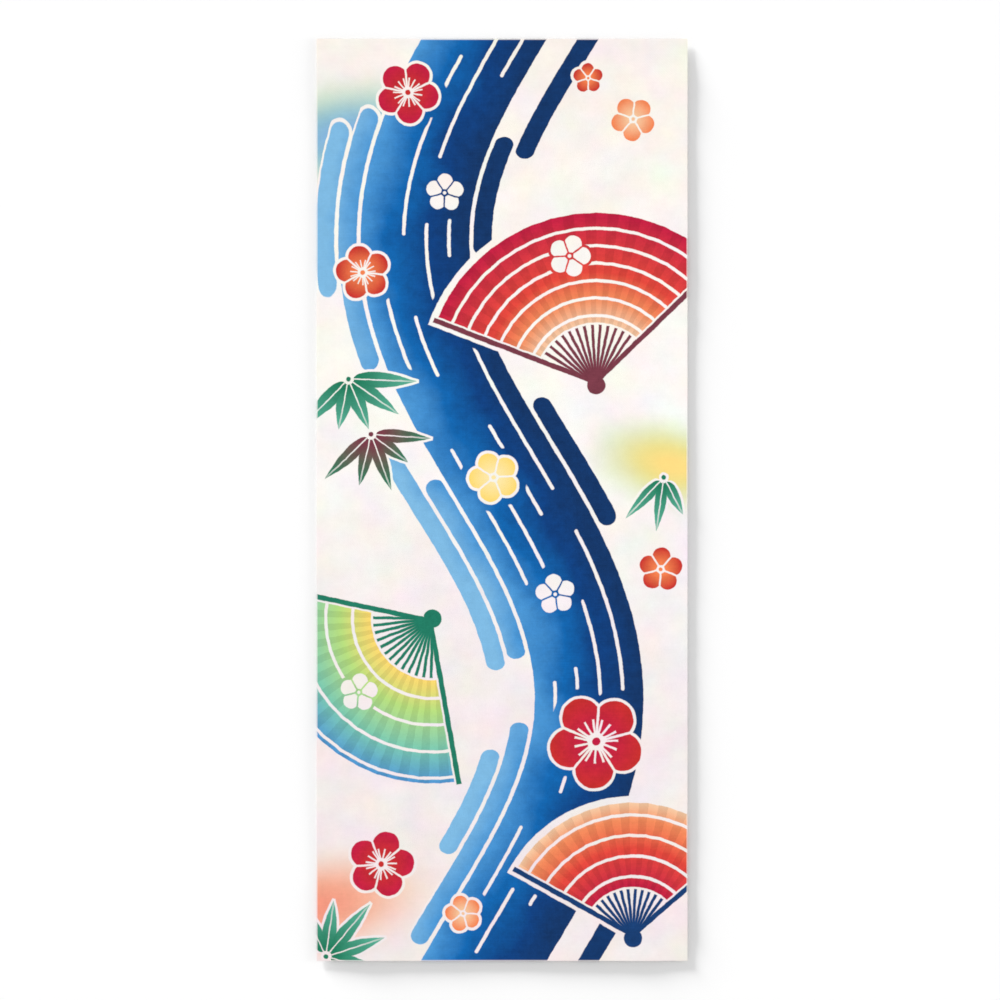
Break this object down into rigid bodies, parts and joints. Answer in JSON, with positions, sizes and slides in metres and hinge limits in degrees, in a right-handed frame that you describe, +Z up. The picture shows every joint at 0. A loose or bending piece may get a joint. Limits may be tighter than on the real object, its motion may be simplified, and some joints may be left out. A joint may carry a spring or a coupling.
{
  "type": "tenugui towel",
  "caption": "Flat rectangular length of thin plain-woven cotton with selvedge long sides and raw cut ends, lying face up; a hand towel and display cloth.",
  "frame": {"origin": "on the surface that the cloth lies on, under the middle of the cloth", "axes": "+Z up out of the dyed face, +Y along the cloth's length towards the top of the print, +X from the left selvedge to the right one"},
  "size_m": [0.362, 0.9, 0.0036],
  "materials": {
    "cotton_cloth": "matt plain-woven cotton, dyed through in blue, green, yellow, orange and crimson on off-white"
  },
  "bodies": {
    "root": {"towel_cloth": "cotton_cloth"}
  },
  "joints": []
}
